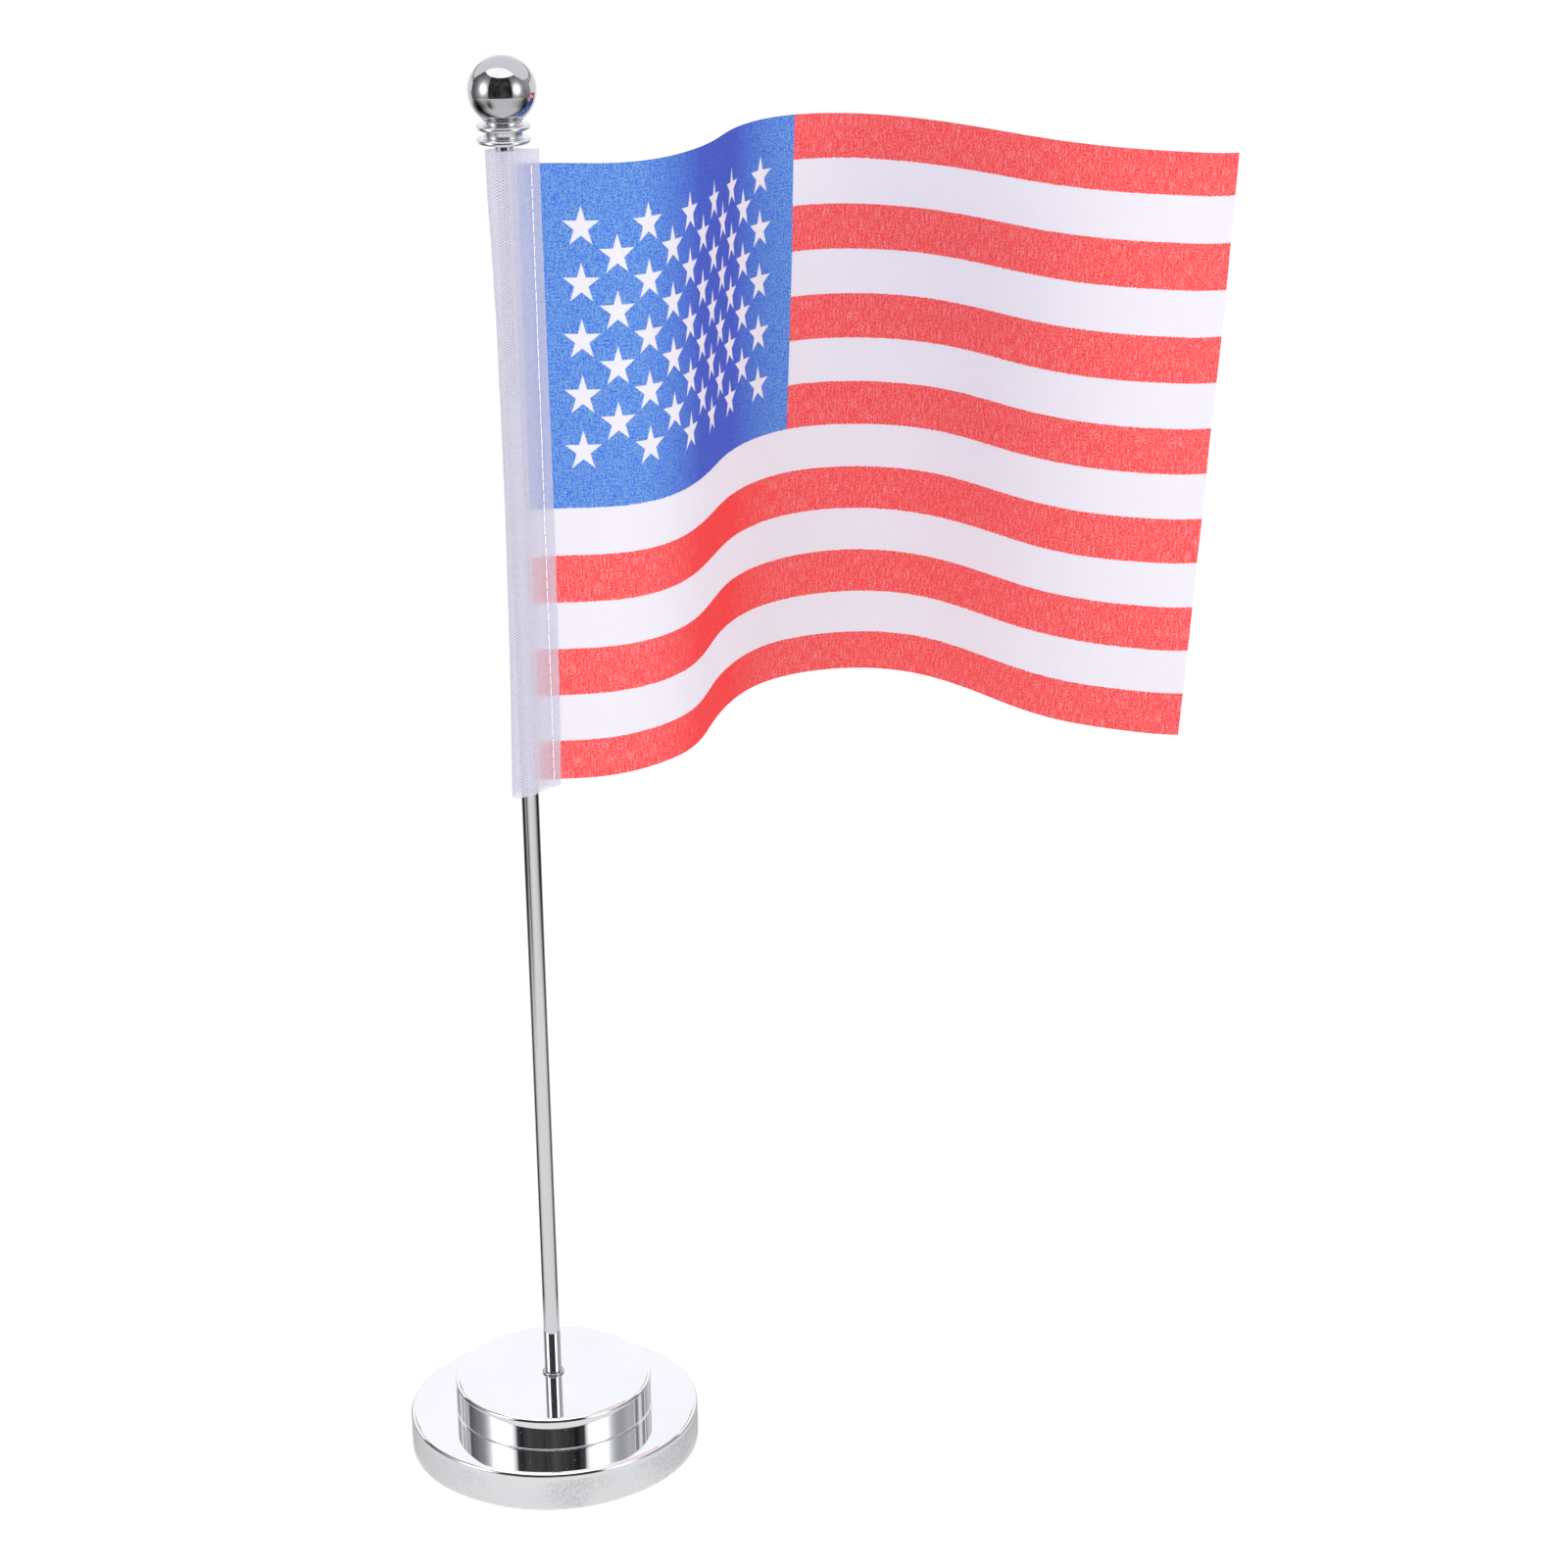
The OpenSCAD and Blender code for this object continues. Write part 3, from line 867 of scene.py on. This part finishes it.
def spunThread(name):
    shade = Shade(name)
    strands = shade.add("ShaderNodeTexWave", wave_type="BANDS", bands_direction="DIAGONAL")
    shade.link(shade.coords("Object"), strands.inputs["Vector"])
    strands.inputs["Scale"].default_value = 900
    strands.inputs["Distortion"].default_value = 1.5
    paint = shade.blendColour(strands.outputs[1], (0.78, 0.78, 0.84, 1), (0.93, 0.93, 0.95, 1))
    rough = shade.remap(strands.outputs[1], 0, 1, 0.6, 0.75)
    return shade.finish(shade.principled(paint, rough, 0, shade.bump(strands.outputs[1], 0.5, 0.03 * mm)))


thread = stitchPiece()
thread.data.materials.append(spunThread("spunThread"))
sleeve, around = sleevePiece()
sleeve.data.materials.append(sleeveMesh(around))
flagPiece().data.materials.append(flagPrint())
print("flag, sleeve and stitching made")


# Studio.
studioSet = {
    "sky": (0.99, 0.99, 1.02, 1), "seenSky": 1.06, "givenSky": 0.58,  # as mirrored, and as light on the cloth
    "roomRadius": 1.0, "roomSteps": 112, "bandSteps": 30, "cardSteps": 60,
    "cardReach": 0.99,  # of the overhead card, as a share of the room's radius
    # bearing in degrees, positive to the right, and height of the dark room's top
    "skyline": ((-118, 0.7), (-107, 1.02), (-101, 1.5), (62, 1.5), (72, 1.15), (84, 0.8), (106, 0.7)),
    "bands": ((-168, -118), (106, 160)), "bandLow": 0.5, "bandHigh": 0.66,
    "ceiling": (1.5, -101, 68, -0.07, 1.9),  # height, bearings, back and strength of the overhead card
    "fills": (  # place, size, power
        ("frontFill", (-0.2, -1.6, 0.8), (1.3, 0.8), 17.5),
        ("rightFill", (1.3, -0.3, 0.5), (0.6, 0.9), 7.5),
        ("leftFill", (-1.2, -0.7, 0.5), (0.6, 0.9), 3.0),
    ),
    "aim": (0.08, 0.04, 0.22),
    # bearing, height, widths and inner edge in degrees, and strength
    "lights": ((-66, 9, 12, 14, -45, 3.0), (51, 8, 11, 13, 33, 3.0), (100, 20, 15, 30, 33, 0.35)),
    "middle": 0.325,
    # bearing, width, depth, and nearest and furthest reach of the dark lines on the table
    "lines": (
        (-108, 28, 0.98, 0.05, 0.6), (104, 26, 0.95, 0.05, 0.6), (-50, 12, 0.85, 0.22, 0.6),
        (-108, 46, 0.85, 0.25, 0.6), (104, 46, 0.85, 0.25, 0.6),
        (-106, 18, 0.85, 0.42, 5), (86, 16, 0.85, 0.42, 5), (-121, 4, 0.9, 0.03, 0.2),
    ),
    "lineFade": (1.5, 0.8, 1.6),  # full past nearest times this, and fading between furthest times these
    "tableRings": (0.0345, 0.06, 0.2, 1.0, 4.0), "tableSteps": 144, "tableHigh": 0.4 * mm,
}


def studioFloor():
    # white sweep, bright enough to read as pure white, with a little room for contact shadow
    floor = addPiece("studioFloor", [(-8, -6, 0), (8, -6, 0), (8, 12, 0), (-8, 12, 0)], [(0, 1, 2, 3)])
    shade = Shade("studioFloor")
    tone = shade.remap(shade.noise(shade.coords("Object"), 3, 2), 0.3, 0.7, 0, 1)
    paint = shade.blendColour(tone, (0.17, 0.17, 0.17, 1), (0.19, 0.19, 0.19, 1))
    floor.data.materials.append(shade.finish(shade.principled(
        paint, 0.9, 0, None, Specular_IOR_Level=0, Emission_Color=(1, 1, 1, 1), Emission_Strength=0.9)))


def mirrorOnly(piece):
    # seen only in the metal
    piece.visible_camera = piece.visible_diffuse = piece.visible_shadow = piece.visible_transmission = False


def bearing(shade):
    # angle round the stand from the camera's side, and the reach and height of a point
    split = shade.add("ShaderNodeSeparateXYZ")
    shade.link(shade.coords("Object"), split.inputs[0])
    x, y, z = split.outputs
    angle = shade.math("DEGREES", shade.math("ARCTAN2", x, shade.math("MULTIPLY", y, -1)))
    reach = shade.math("SQRT", shade.math("ADD", shade.math("MULTIPLY", x, x), shade.math("MULTIPLY", y, y)))
    return angle, reach, z


def bell(shade, value, centre, width):
    off = shade.math("DIVIDE", shade.math("SUBTRACT", value, centre), width)
    return shade.math("MULTIPLY", shade.math("MULTIPLY", off, off), -1)


def glowOnly(shade, strength):
    light = shade.add("ShaderNodeEmission")
    light.inputs["Color"].default_value = (1, 1, 1, 1)
    shade.feed(light.inputs["Strength"], strength)
    return shade.finish(light.outputs[0])


def heightAt(pairs, value):
    # straight steps through a list of (value, height)
    for (low, start), (high, end) in zip(pairs, pairs[1:]):
        if value <= high:
            break
    return start + (end - start) * (value - low) / (high - low)


def roomWall():
    # dark room round the front, with two lamps, a faint third and their glow
    s = studioSet
    first, last = s["skyline"][0][0], s["skyline"][-1][0]
    steps = s["roomSteps"]
    points = []
    for k in range(steps + 1):
        a = first + (last - first) * k / steps
        for z in (0.0, heightAt(s["skyline"], a)):
            points.append((s["roomRadius"] * sin(radians(a)), -s["roomRadius"] * cos(radians(a)), z))
    room = addPiece("roomWall", points, gridFaces(steps + 1, 2))
    shade = Shade("roomWall")
    angle, reach, z = bearing(shade)
    rise = shade.math("DEGREES", shade.math("ARCTAN2", shade.math("SUBTRACT", z, s["middle"]), reach))
    total = shade.remap(shade.noise(shade.coords("Object"), 3.5, 4), 0.35, 0.72, 0.015, 0.12)
    for where, high, wide, tall, inner, power in s["lights"]:
        edge = shade.remap(angle, inner, inner * 1.08, 0, 1)
        for spread, share in ((1, 1), (2.7, 0.2)):
            fall = shade.math("ADD", bell(shade, angle, where, wide * spread),
                              bell(shade, rise, high, tall * spread))
            glow = shade.math("MULTIPLY", shade.math("EXPONENT", fall), edge)
            total = shade.math("ADD", total, shade.math("MULTIPLY", glow, power * share))
    room.data.materials.append(glowOnly(shade, total))
    mirrorOnly(room)


def rearBands():
    # grey strips of the room behind, one to each side
    s = studioSet
    steps = s["bandSteps"]
    for low, high in s["bands"]:
        points = []
        for k in range(steps + 1):
            a = radians(low + (high - low) * k / steps)
            for z in (s["bandLow"], s["bandHigh"]):
                points.append((s["roomRadius"] * sin(a), -s["roomRadius"] * cos(a), z))
        band = addPiece("rearBand", points, gridFaces(steps + 1, 2))
        shade = Shade("rearBand")
        angle = bearing(shade)[0]
        streak = shade.add("ShaderNodeTexNoise", noise_dimensions="1D")
        shade.link(angle, streak.inputs["W"])
        streak.inputs["Scale"].default_value = 0.13
        streak.inputs["Detail"].default_value = 2
        band.data.materials.append(glowOnly(shade, shade.remap(streak.outputs[0], 0.38, 0.6, 0.25, 0.85)))
        mirrorOnly(band)


def ceilingCard():
    height, first, last, back, power = studioSet["ceiling"]
    reach = studioSet["roomRadius"] * studioSet["cardReach"]
    steps = studioSet["cardSteps"]
    turn = [radians(first + (last - first) * k / steps) for k in range(steps + 1)]
    corners = [(reach * sin(a), -reach * cos(a), height) for a in turn] + [(0, back, height)]
    card = addPiece("ceilingCard", corners, [tuple(range(len(corners)))])
    shade = Shade("ceilingCard")
    tone = shade.remap(shade.noise(shade.coords("Object"), 2, 2), 0.3, 0.7, power * 0.85, power)
    card.data.materials.append(glowOnly(shade, tone))
    mirrorOnly(card)


def fillLights():
    for name, place, size, power in studioSet["fills"]:
        data = bpy.data.lights.new(name, "AREA")
        data.shape = "RECTANGLE"
        data.size, data.size_y = size
        data.energy = power
        light = bpy.data.objects.new(name, data)
        light.location = place
        aim = Vector(studioSet["aim"]) - Vector(place)
        light.rotation_euler = aim.to_track_quat("-Z", "Y").to_euler()
        light.visible_glossy = False
        bpy.context.scene.collection.objects.link(light)


def mirrorFloor():
    # what the metal sees of the table: white at the back, greyer in front, a painted contact shadow close
    # round the stand, and the sweep's dark edges
    points = []
    radii, steps, high = studioSet["tableRings"], studioSet["tableSteps"], studioSet["tableHigh"]
    full, fade, gone = studioSet["lineFade"]
    for k in range(steps):
        a = 2 * pi * k / steps
        points += [(r * sin(a), -r * cos(a), high) for r in radii]
    floor = addPiece("mirrorFloor", points, gridFaces(steps, len(radii), closed=True))
    shade = Shade("mirrorFloor")
    angle, reach = bearing(shade)[:2]
    wide = shade.math("ABSOLUTE", angle)
    total = shade.remap(wide, 60, 140, 0.84, 1.05)
    # painted contact shadow on the table close round the stand, seen only in the metal
    contactShade = shade.remap(wide, 40, 125, 0.95, 0.4)
    total = shade.math("MULTIPLY", total, shade.remap(reach, 0.04, 0.06, contactShade, 1))
    for where, width, depth, start, end in studioSet["lines"]:
        line = shade.math("EXPONENT", bell(shade, angle, where, width))
        line = shade.math("MULTIPLY", line, shade.remap(reach, start, start * full, 0, 1))
        line = shade.math("MULTIPLY", line, shade.remap(reach, end * fade, end * gone, 1, 0))
        total = shade.math("MULTIPLY", total, shade.math("SUBTRACT", 1, shade.math("MULTIPLY", line, depth)))
    floor.data.materials.append(glowOnly(shade, total))
    mirrorOnly(floor)


def studioWorld():
    world = bpy.data.worlds.new("studio")
    bpy.context.scene.world = world
    world.use_nodes = True
    nodes, links = world.node_tree.nodes, world.node_tree.links
    sky = nodes["Background"]
    sky.inputs["Color"].default_value = studioSet["sky"]
    path = nodes.new("ShaderNodeLightPath")
    swap = nodes.new("ShaderNodeMapRange")
    swap.inputs["To Min"].default_value = studioSet["seenSky"]
    swap.inputs["To Max"].default_value = studioSet["givenSky"]
    links.new(path.outputs["Is Diffuse Ray"], swap.inputs["Value"])
    links.new(swap.outputs[0], sky.inputs["Strength"])


studioFloor()
roomWall()
rearBands()
ceilingCard()
mirrorFloor()
fillLights()
studioWorld()
print("studio set")
